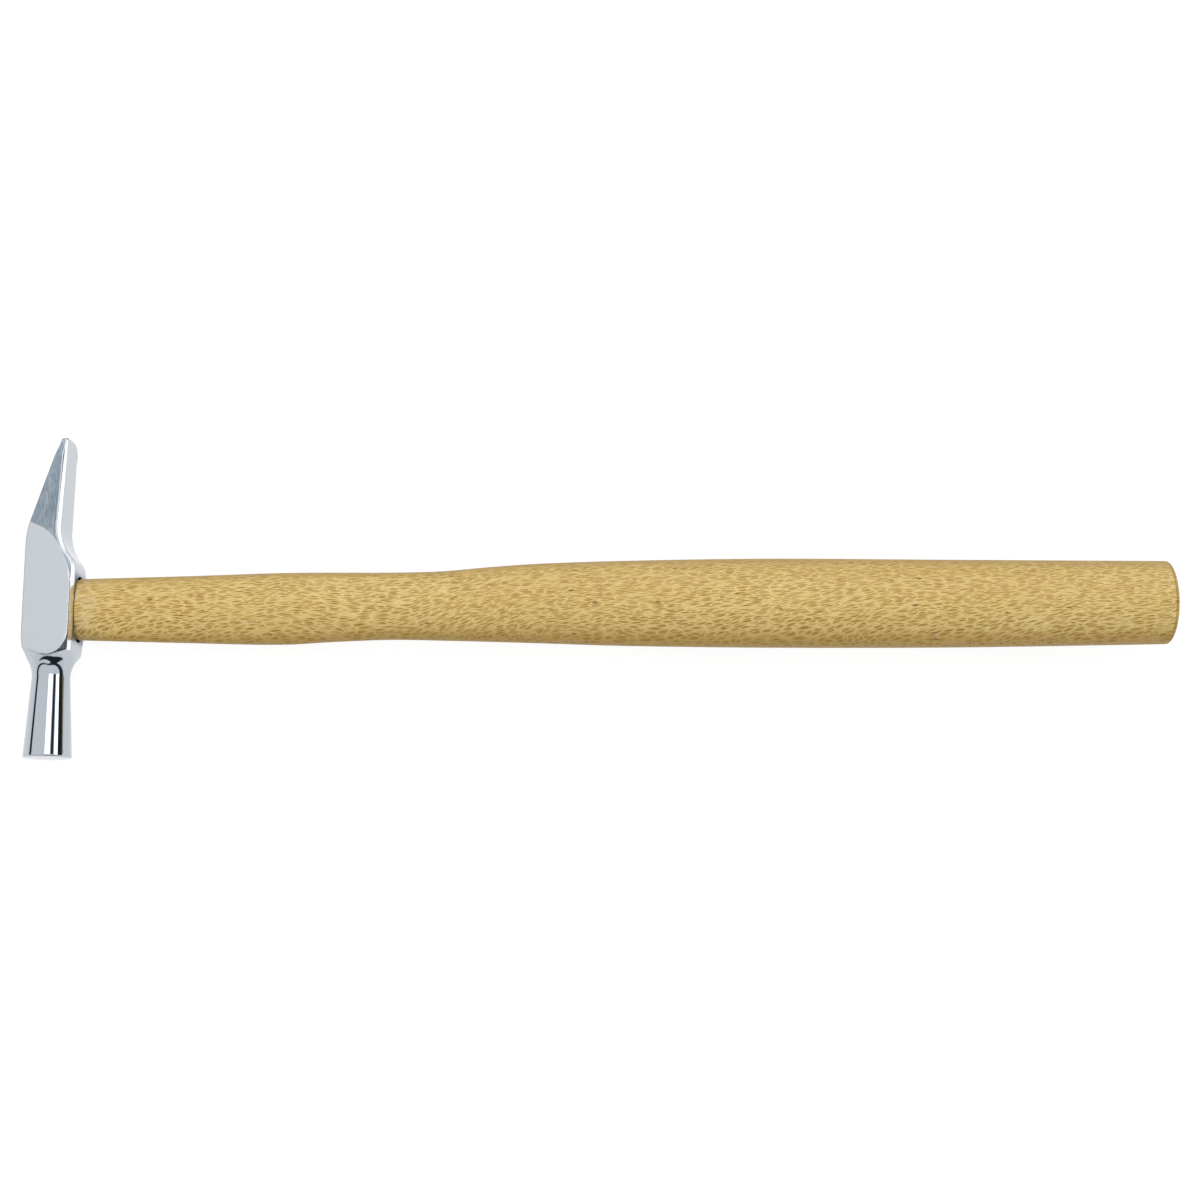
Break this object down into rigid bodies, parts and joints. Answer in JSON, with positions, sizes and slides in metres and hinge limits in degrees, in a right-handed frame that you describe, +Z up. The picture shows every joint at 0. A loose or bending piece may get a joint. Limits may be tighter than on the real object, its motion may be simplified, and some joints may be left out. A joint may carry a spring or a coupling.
{
  "type": "light cross-peen hammer",
  "caption": "Light cross-peen hammer with a polished steel head, round striking face, slim peen and a shaped hardwood handle wedged in the eye.",
  "frame": {"origin": "centre of the flat middle of the striking face", "axes": "+X along the handle from the head to the butt, +Y along the head from the striking face to the peen, +Z up out of a cheek, with the hammer lying on its side"},
  "size_m": [0.2398, 0.0679, 0.0176],
  "materials": {
    "head_steel": "polished, with satin ground cheeks",
    "handle_wood": "satin lacquer",
    "wedge_wood": "bare",
    "wedge_steel": "dull"
  },
  "bodies": {
    "root": {"hammer_head": "head_steel", "handle": "handle_wood", "eye_wedge": "wedge_wood", "cross_wedge": "wedge_steel"}
  },
  "joints": []
}
